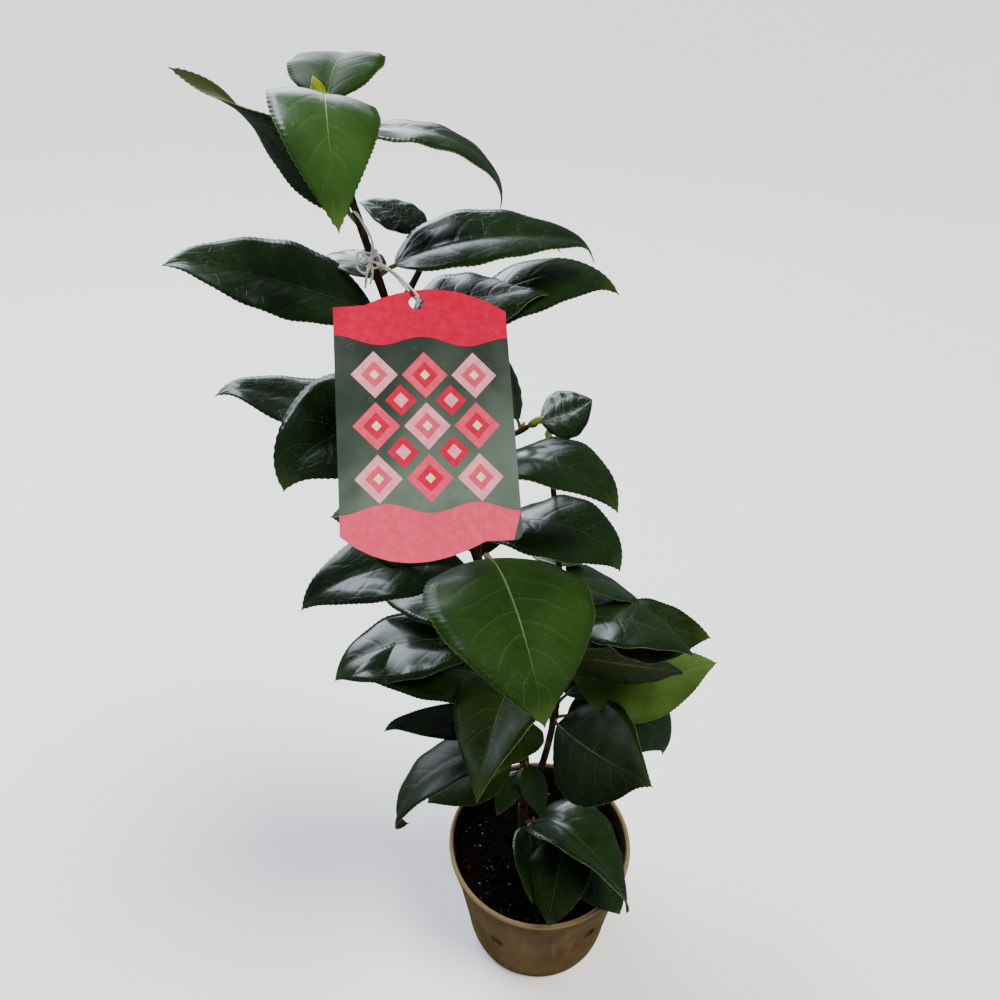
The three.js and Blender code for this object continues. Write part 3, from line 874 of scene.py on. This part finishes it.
@dataclass
class Wood:
    """Trunk, shoots and twigs as round tapering limbs with bark relief, swollen nodes and buds."""

    flare_radius: float = 5.2
    sides: int = 20
    steps: int = 90
    swelling: float = 0.22
    swelling_reach: float = 1.8
    bud_steps: int = 14
    axil_bud: Pair = (3.4, 0.8)
    end_buds: tuple[tuple[str, float, float, Finish], ...] = (
        ("leader", 9.6, 2.7, OPENING_BUD), ("middle", 8.0, 1.7, BUD), ("right", 6.0, 1.5, BUD),
    )

    def relief(self, point: Vector, angle: float) -> float:
        """Gives the bark's relief as a share of the radius."""
        spot = Vector((math.cos(angle) * 1.6, math.sin(angle) * 1.6, point.z * 0.22))
        return 0.09 * noise.noise(spot) + 0.045 * noise.noise(spot * 2.7)

    def limb(self, name: str) -> Shape:
        """Builds a stem with a swelling where each of its leaves stands.

        Args:
            name: The stem's name.

        Returns:
            Its shape.
        """
        stem = STEMS[name]
        path = [stem.at(i / self.steps) for i in range(self.steps + 1)]
        nodes = [leaf.at for mass in MASSES if mass.stem == name for leaf in mass.leaves]
        span = sum((b - a).length for a, b in zip(path, path[1:]))

        def radius(share: float, angle: float) -> float:
            """Gives the radius with its taper, swellings, relief and foot."""
            girth, tip = stem.radius(share), min(1, 0.35 + (1 - share) * span / 2.5)
            if name == "trunk":
                girth += (self.flare_radius - girth) * math.exp(-share * 6)
                tip = 1
            knots = sum(math.exp(-(((share - at) * span) / self.swelling_reach) ** 2) for at in nodes)
            return girth * tip * (1 + self.swelling * min(knots, 1) + self.relief(stem.at(share), angle))

        return swept(path, self.sides, radius)

    def bud(self, root: Vector, along: Vector, length: float, girth: float) -> Shape:
        """Builds a pointed bud with the ridges of its scales.

        Args:
            root: Where it starts.
            along: Where it points.
            length: Its length.
            girth: Its greatest radius.

        Returns:
            Its shape.
        """
        path = [root + along * (length * i / self.bud_steps) for i in range(self.bud_steps + 1)]

        def radius(share: float, angle: float) -> float:
            """Gives the bud's radius, fullest below its middle."""
            ridge = 1 + 0.1 * math.sin(3 * angle + 9 * share)
            return max(girth * math.sin(math.pi * share ** 0.75) ** 0.8 * ridge, 0.06)

        return swept(path, 12, radius)

    def build(self) -> None:
        """Builds the limbs and twigs, the end buds, and the small buds in the leaves' axils."""
        stems = Piece("stems")
        for name, finish in (("trunk", OLD_BARK), ("leader", BARK), ("right", BARK)):
            stems.take(self.limb(name), finish)
        stems.show("bark", "trunk", "leader", "right_shoot")
        twigs = Piece("twigs")
        for name in ("front", "upper", "middle", "low"):
            twigs.take(self.limb(name), SHOOT_BARK)
        twigs.show("bark")
        buds = Piece("buds")
        for name, length, girth, finish in self.end_buds:
            tip, along = STEMS[name].at(1), STEMS[name].along(1)
            buds.take(self.bud(tip - along * 1.5, along, length, girth), finish)
        for stem, leaf in ((STEMS[mass.stem], leaf) for mass in MASSES for leaf in mass.leaves):
            if leaf.at < 0.97:
                along = stem.along(leaf.at)
                root = stem.at(leaf.at) + aim(leaf.heading, 0) * stem.radius(leaf.at) * 0.7 + along
                way = (aim(leaf.heading, 55) + along).normalized()
                buds.take(self.bud(root, way, *self.axil_bud), BUD)
        buds.show("foliage")


@dataclass
class NurseryPot:
    """A thin round tapered pot with a stiffened band at the rim and eight drain holes."""

    height: float = 77
    rim_radius: float = 52.5
    base_radius: float = 41.5
    wall: float = 1.4
    floor: float = 2.4
    band: float = 10.5
    step: float = 1.0
    sides: int = 144
    holes: int = 8
    hole_radius: float = 3.5
    hole_circle: float = 27

    def radius(self, height: float) -> float:
        """Gives the plain wall's outer radius at a height."""
        return self.base_radius + (self.rim_radius - self.step - self.base_radius) * height / self.height

    def profile(self) -> list[Pair]:
        """Gives the section from the middle of the underside, up outside, and down inside."""
        out, foot, rim, top, inside = self.radius, self.base_radius, self.rim_radius, self.height, self.floor
        low = top - self.band
        return [
            (0, 0.8), (foot - 7, 0.8), (foot - 5.5, 0), (foot - 1.2, 0), (foot - 0.3, 0.35), (out(1.4), 1.4),
            (out(5), 5), (out(5.6) + 0.25, 5.6), (out(6.6) + 0.25, 6.6), (out(7.2), 7.2),
            (out(low / 2), low / 2), (out(low - 0.4), low - 0.4), (out(low) + 0.15, low),
            (out(low) + self.step * 0.9, low + 0.5), (out(low) + self.step * 1.15, low + 1.1),
            (rim - 0.35, top - 3.4), (rim, top - 2.9), (rim + 0.1, top - 1.2), (rim - 0.2, top - 0.4),
            (rim - 0.8, top), (rim - 1.7, top - 0.1), (rim - self.step - self.wall, top - 0.9),
            (out(low) - self.wall, low), (out(inside + 1.5) - self.wall, inside + 1.5),
            (out(inside) - self.wall - 1.2, inside), (0, inside),
        ]

    def build(self) -> None:
        """Builds the pot, with its drain holes cut through the floor."""
        piece = Piece("pot_shell")
        shape = turned(self.profile(), self.sides)
        bmesh.ops.recalc_face_normals(shape, faces=shape.faces)
        # the inner wall above the floor takes the darker copy of the plastic: painted shade
        outside, inside = piece.slot(POT), piece.slot(POT_INSIDE_PAINTED_SHADE)
        whole = self.drilled(shape)
        for face in whole.faces:
            middle = face.calc_center_median()
            inward = face.normal.x * middle.x + face.normal.y * middle.y < -0.4 * middle.xy.length
            face.material_index = inside if inward and middle.z > self.floor else outside
        piece.take(whole)
        piece.show("pot", "pot").data.set_sharp_from_angle(angle=math.radians(50))

    def drilled(self, shape: Shape) -> Shape:
        """Cuts the drain holes into the pot's floor.

        Args:
            shape: The whole pot, which is freed.

        Returns:
            The pot with its holes.
        """
        drills = bmesh.new()
        for i in range(self.holes):
            turn = 2 * math.pi * i / self.holes
            centre = (self.hole_circle * math.cos(turn), self.hole_circle * math.sin(turn), 0)
            bmesh.ops.create_cone(drills, cap_ends=True, segments=28, radius1=self.hole_radius,
                                  radius2=self.hole_radius, depth=12, matrix=Matrix.Translation(centre))
        whole = placed("whole_pot", mesh_of(shape, "whole_pot"))
        tools = placed("drills", mesh_of(drills, "drills"))
        cut = whole.modifiers.new("drain", "BOOLEAN")
        cut.operation, cut.object, cut.solver = "DIFFERENCE", tools, "EXACT"
        bpy.context.view_layer.update()
        result = bmesh.new()
        result.from_mesh(whole.evaluated_get(bpy.context.evaluated_depsgraph_get()).data)
        bpy.data.objects.remove(whole)
        bpy.data.objects.remove(tools)
        return result


@dataclass(frozen=True)
class Bits:
    """A kind of loose bits on the compost: its finish, number, range of sizes, flatness and spread."""

    finish: Finish
    count: int
    sizes: Pair
    flat: float
    fill: float


@dataclass
class Compost:
    """The filled root ball: a lumpy dark surface with crumbs, bark bits and pale flecks."""

    level: float = 67
    foot: float = 2.7
    rings: int = 46
    sides: int = 150
    gap: float = 0.45
    stem_place: Pair = (-9, 3)
    stem_room: float = 6.5
    pot: NurseryPot = field(default_factory=NurseryPot)
    kinds: tuple[Bits, ...] = (
        Bits(CompostFinish("dark_crumbs", "0A0706", "24180F"), 420, (0.7, 1.9), 0.8, 1.0),
        Bits(CompostFinish("bark_bits", "24150C", "48281A"), 44, (0.8, 2.1), 0.4, 0.2),
        Bits(CompostFinish("pale_flecks", "8E8A7E", "C9C5B8"), 110, (0.22, 0.62), 0.8, 1.0),
    )

    def inner(self, height: float) -> float:
        """Gives the radius of the fill at a height."""
        return self.pot.radius(height) - self.pot.wall - self.gap

    def surface(self, x: float, y: float) -> float:
        """Gives the height of the lumpy surface at a place."""
        spot = Vector((x * 0.09, y * 0.09, 3.1))
        lumps = 1.5 * noise.noise(spot) + 0.9 * noise.noise(spot * 2.9) + 0.5 * noise.noise(spot * 7.5)
        return self.level - 0.9 + lumps

    def build(self) -> None:
        """Builds the fill and the loose bits on it."""
        top = self.inner(self.level)
        profile = [(top * i / self.rings, self.level) for i in range(self.rings + 1)]
        shape = turned([*profile, (self.inner(self.foot) - 1, self.foot), (0, self.foot)], self.sides)
        for vert in shape.verts:
            if vert.co.z > self.level - 1:
                vert.co.z = self.surface(vert.co.x, vert.co.y)
        bmesh.ops.recalc_face_normals(shape, faces=shape.faces)
        piece = Piece("compost_fill")
        piece.take(shape, COMPOST)
        piece.show("compost", "compost")
        loose = Piece("compost_bits")
        for seed, bits in enumerate(self.kinds):
            loose.take(self.scattered(bits, seed), bits.finish)
        loose.show("compost", smooth=False)

    def scattered(self, bits: Bits, seed: int) -> Shape:
        """Scatters one kind of bits over the surface, clear of the trunk.

        Args:
            bits: The kind.
            seed: The seed of their places, sizes and turns.

        Returns:
            The shape of them all.
        """
        shape = bmesh.new()
        for i in range(bits.count):
            turn = 2 * math.pi * chance(i, seed + 31)
            reach = (self.inner(self.level) - 2) * (1 - bits.fill * (1 - math.sqrt(chance(i, seed + 41))))
            x, y = reach * math.cos(turn), reach * math.sin(turn)
            if math.hypot(x - self.stem_place[0], y - self.stem_place[1]) < self.stem_room:
                continue
            size = bits.sizes[0] + (bits.sizes[1] - bits.sizes[0]) * chance(i, seed + 51) ** 2
            spin = Matrix.Rotation(6.28 * chance(i, seed + 61), 4, (chance(i, 7), chance(i, 8), 0.4))
            stretch = Matrix.Diagonal((size * 1.3, size * (0.6 + 0.5 * chance(i, 5)), size * bits.flat, 1))
            centre = Matrix.Translation((x, y, self.surface(x, y) + size * 0.3))
            bmesh.ops.create_icosphere(shape, subdivisions=1, radius=1, matrix=centre @ spin @ stretch)
        return shape


@dataclass
class PlantLabel:
    """The hanging card: its place, its outline, and a plain ornament printed on it."""

    width: float = 56.5
    body_height: float = 77
    thickness: float = 0.6
    centre: Triple = (-46, -49.5, 376.5)
    yaw: float = 17
    lean: float = 45
    roll: float = 8
    hole: Pair = (-1.5, 41)
    hole_radius: float = 2.4
    ink: float = 0.07
    steps: int = 24
    band: float = 11
    wave: float = 1.6
    inset: float = 0.1
    lattice_centre: Pair = (0, -1)
    diamond: Pair = (16, 17)

    def matrix(self) -> Matrix:
        """Gives the turn and place of the hanging card."""
        yaw, lean, roll = (math.radians(angle) for angle in (self.yaw, -self.lean, self.roll))
        turn = Matrix.Rotation(yaw, 4, "Z") @ Matrix.Rotation(lean, 4, "X")
        return Matrix.Translation(self.centre) @ turn @ Matrix.Rotation(roll, 4, "Y")

    def bow(self, start: Pair, handle: Pair, end: Pair) -> list[Pair]:
        """Gives the points of a bowed edge on a quadratic curve."""
        return [tuple((1 - t) ** 2 * a + 2 * (1 - t) * t * b + t ** 2 * c
                      for a, b, c in zip(start, handle, end))
                for t in (i / self.steps for i in range(self.steps + 1))]

    def patch(self, outline: Sequence[Pair], layer: int, hole: Sequence[Pair] = ()) -> Shape:
        """Builds a thin printed patch in front of the card.

        Args:
            outline: Its outline, across and up.
            layer: How many layers of ink it lies on.
            hole: The outline of a hole in it.

        Returns:
            The patch in the part's frame.
        """
        made = bmesh.new()
        back = -self.thickness / 2 - self.ink * layer + 0.02
        for loop in (outline, hole):
            verts = [made.verts.new((x, back, z)) for x, z in loop]
            for pair in zip(verts, verts[1:] + verts[:1]):
                made.edges.new(pair)
        bmesh.ops.triangle_fill(made, use_beauty=True, edges=made.edges[:])
        grown = bmesh.ops.extrude_face_region(made, geom=made.faces[:])
        fresh = [v for v in grown["geom"] if isinstance(v, bmesh.types.BMVert)]
        bmesh.ops.translate(made, vec=(0, -self.ink, 0), verts=fresh)
        bmesh.ops.recalc_face_normals(made, faces=made.faces)
        bmesh.ops.transform(made, matrix=self.matrix(), verts=made.verts)
        return made

    def lozenge(self, row: float, column: float, share: float) -> list[Pair]:
        """Gives the outline of a diamond of the lattice, at a share of its full size."""
        x = self.lattice_centre[0] + column * self.diamond[0]
        z = self.lattice_centre[1] + row * self.diamond[1]
        wide, tall = self.diamond[0] / 2 * share, self.diamond[1] / 2 * share
        return [(x + wide, z), (x, z + tall), (x - wide, z), (x, z - tall)]

    def disc(self, x: float, z: float, radius: float, sides: int = 40) -> list[Pair]:
        """Gives the outline of a disc."""
        turns = [2 * math.pi * i / sides for i in range(sides)]
        return [(x + radius * math.cos(t), z + radius * math.sin(t)) for t in turns]

    def bands(self) -> tuple[list[Pair], list[Pair]]:
        """Gives the outlines of the bands at the head and the foot, each with a waved inner edge."""
        edge, half = self.body_height / 2, self.width / 2
        left = self.inset - half
        head = self.bow((half, edge), (6, edge + 14), (10 - half, edge + 1))
        foot = self.bow((-half, 3 - edge), (18 - half, -edge - 13), (half - 12, -edge))
        wave = [(left + (self.width - 2 * self.inset) * i / self.steps,
                 edge - self.band + self.wave * math.cos(4 * math.pi * i / self.steps))
                for i in range(self.steps + 1)]
        return [*head, (left, edge), *wave], [*foot, (half - 3, -edge), *((-x, -z) for x, z in wave)]

    def build(self) -> None:
        """Dresses the card and prints the bands and a lattice of nested diamonds on it."""
        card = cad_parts["label"]
        card.data.materials.clear()
        card.data.materials.append(material(CARD))
        head, foot = self.bands()
        piece = Piece("label_print")
        piece.take(self.patch(head, 0, self.disc(*self.hole, self.hole_radius)), Ink.CRIMSON.value)
        piece.take(self.patch(foot, 0), Ink.ROSE.value)
        even = ((0.92, Ink.BLUSH), (0.52, Ink.ROSE), (0.2, Ink.CREAM))
        odd = ((0.92, Ink.ROSE), (0.52, Ink.CRIMSON), (0.2, Ink.CREAM))
        small = ((0.62, Ink.CRIMSON), (0.3, Ink.BLUSH))
        places = [(row, column) for row in (-1, 0, 1) for column in (-1, 0, 1)]
        for row, column in places + [(-0.5, -0.5), (-0.5, 0.5), (0.5, -0.5), (0.5, 0.5)]:
            nest = small if row % 1 else odd if (row + column) % 2 else even
            for layer, (share, ink) in enumerate(nest):
                piece.take(self.patch(self.lozenge(row, column, share), layer), ink.value)
        piece.show("label", smooth=False)


@dataclass
class Tie:
    """The string that holds the card: rings round the leader, a bow, loose ends and a loop to the hole."""

    label: PlantLabel
    place: float = 0.88
    axil: float = 0.91
    radius: float = 0.42
    twist: float = 0.22
    knot_radius: float = 1.15
    bow: tuple[tuple[Triple, ...], ...] = (
        ((0, 0, 0), (-3.5, -1.5, 3), (-4.5, -2, -2), (-1.5, -1.5, -4), (0, 0, 0)),
        ((0, 0, 0), (2.4, -1.4, 2.5), (3.6, -1.6, -0.5), (1, -1, -2.4), (0, 0, 0)),
        ((0, 0, 0), (-1.5, -1.2, -4), (-2.5, -1.6, -9)),
        ((0, 0, 0), (0.4, -1.4, -4), (-0.6, -2, -7.5)),
    )

    def smooth(self, points: Sequence[Vector], steps: int = 9) -> list[Vector]:
        """Gives a smooth path through some points.

        Args:
            points: The points.
            steps: How many steps the path takes between two of them.

        Returns:
            The path's points.
        """
        ends = [points[0] * 2 - points[1], *points, points[-1] * 2 - points[-2]]
        path = []
        for a, b, c, d in zip(ends, ends[1:], ends[2:], ends[3:]):
            for i in range(steps):
                t = i / steps
                path.append(0.5 * (2 * b + (c - a) * t + (2 * a - 5 * b + 4 * c - d) * t ** 2
                                   + (3 * b - a - 3 * c + d) * t ** 3))
        return path + [points[-1].copy()]

    def strand(self, points: Sequence[Vector]) -> Shape:
        """Builds a twisted strand through some points."""
        path = self.smooth(points)
        turns = len(path) * 0.9
        return swept(path, 10, lambda share, angle:
                     self.radius * (1 + self.twist * math.cos(2 * angle + turns * share)))

    def strands(self, knot: Vector, held: Vector, ring: float) -> list[list[Vector]]:
        """Lays the strands.

        Args:
            knot: Where they are knotted.
            held: The middle of the leader where the rings go round it.
            ring: The radius of the rings.

        Returns:
            The points of each strand.
        """
        matrix, (x, z) = self.label.matrix(), self.label.hole
        front, through, behind = (matrix @ Vector((x, y, z + up))
                                  for y, up in ((-2, 2), (0, 1.4), (2.2, 2.6)))
        axil = STEMS["leader"].at(self.axil)
        around = [Vector((ring * math.cos(a), ring * math.sin(a), 0))
                  for a in (math.pi * i / 4 for i in range(-2, 7))]
        return [
            *([held + p + Vector((0, 0, up)) for p in around] for up in (1.0, -0.2)),
            [knot, knot.lerp(front, 0.4) + Vector((1.5, 0, 0.6)), front, through, behind,
             behind.lerp(knot, 0.5) + Vector((0.5, 0, 1.6)), knot],
            *([knot + Vector(step) for step in steps] for steps in self.bow),
            [knot, held + Vector((1.5, -ring - 0.4, 5)),
             *(axil + Vector(step) for step in ((0.6, -2.2, 1.5), (-1.5, -0.6, 3), (-1, 1.6, 2)))],
        ]

    def build(self) -> None:
        """Builds the whole tie in place of its node."""
        leader = STEMS["leader"]
        held = leader.at(self.place)
        ring = leader.radius(self.place) + self.radius + 0.45
        knot = held + Vector((0.6, -ring - 1.0, -1))
        piece = Piece("tie_string")
        for points in self.strands(knot, held, ring):
            piece.take(self.strand(points), STRING)
        shape = bmesh.new()
        bmesh.ops.create_icosphere(shape, subdivisions=2, radius=self.knot_radius,
                                   matrix=Matrix.Translation(knot))
        piece.take(shape, STRING)
        piece.show("tie", "label_tie")


@dataclass
class Studio:
    """A pale floor, soft lights and the camera, in metres."""

    eye: Triple = (-0.023, -0.268, 0.494)
    pitch: float = 33.9
    focal: float = 28.08
    sensor: float = 36
    middle: Triple = (-0.02, 0, 0.28)
    floor_radius: float = 60
    sky_side: Triple = (-0.5, 0.83, 0.26)
    sky_colour: str = "EAF2FF"
    bright_sky: float = 8.0
    dim_sky: float = 0.12
    seen_sky: float = 2.0

    def light(self, name: str, kind: str, place: Triple, size: float, power: float, colour: str) -> None:
        """Adds a soft light that faces the middle of the plant.

        Args:
            name: The light's name.
            kind: The kind of light, a SUN or an AREA.
            place: Where it stands.
            size: The side of its panel, or a sun's angle in radians.
            power: Its strength.
            colour: Its colour code.
        """
        lamp = bpy.data.lights.new(name, kind)
        lamp.energy, lamp.color = power, linear(colour)[:3]
        setattr(lamp, "angle" if kind == "SUN" else "size", size)
        made = placed(name, lamp)
        made.visible_glossy = kind != "SUN"
        made.location = place
        made.rotation_euler = (Vector(self.middle) - Vector(place)).to_track_quat("-Z", "Y").to_euler()

    def surroundings(self) -> None:
        """Makes a dim sky with a bright patch behind the plant, which the camera sees as an even pale one."""
        world = bpy.data.worlds.new("surroundings")
        world.use_nodes = True
        graph = Graph(world.node_tree)
        way = graph.node("ShaderNodeTexCoord", {}, "Generated")
        facing = way.measure("DOT_PRODUCT", Vector(self.sky_side).normalized())
        patch = facing.ramp(0.82, 0.97) * way.parts()[2].ramp(0.04, 0.2)
        seen = graph.node("ShaderNodeLightPath", {}, "Is Camera Ray")
        ground = graph.tree.nodes["Background"].inputs
        graph.put(ground["Color"], self.sky_colour)
        graph.put(ground["Strength"], seen.ramp(0, 1, patch * self.bright_sky + self.dim_sky, self.seen_sky))
        bpy.context.scene.world = world

    def floor(self) -> None:
        """Lays the plain pale floor, which glossy rays don't see."""
        shape = bmesh.new()
        bmesh.ops.create_circle(shape, cap_ends=True, segments=96, radius=self.floor_radius)
        shader = Shader("studio_floor")
        shader.put(shader.surface["Base Color"], shader.place.noise(3, 2).mix("FAFAF9", "FDFDFC"))
        shader.put(shader.surface["Roughness"], 0.9)
        floor = placed("floor", mesh_of(shape, "floor"))
        floor.data.materials.append(shader.material)
        floor.visible_glossy = False

    def build(self) -> None:
        """Sets up the floor, the lights, the surroundings and the camera."""
        self.floor()
        self.light("key_sun", "SUN", (0.8, -0.3, 1.9), 0.5, 4.6, "FFFDF6")
        self.light("top_panel", "AREA", (-0.88, 0.48, 1.95), 0.9, 34, self.sky_colour)
        self.surroundings()
        camera = placed("camera", bpy.data.cameras.new("camera"))
        camera.data.lens, camera.data.sensor_width = self.focal, self.sensor
        camera.data.clip_start, camera.data.clip_end = 0.01, 300
        camera.location = self.eye
        camera.rotation_euler = (math.radians(90 - self.pitch), 0, 0)
        bpy.context.scene.camera = camera


def main() -> None:
    """Builds the studio and every piece of the plant."""
    logging.basicConfig(level=logging.INFO, format="%(name)s %(message)s")
    label = PlantLabel()
    for part in (Studio(), NurseryPot(), Compost(), Wood(), Foliage(), label, Tie(label)):
        part.build()


if __name__ == "__main__":
    main()
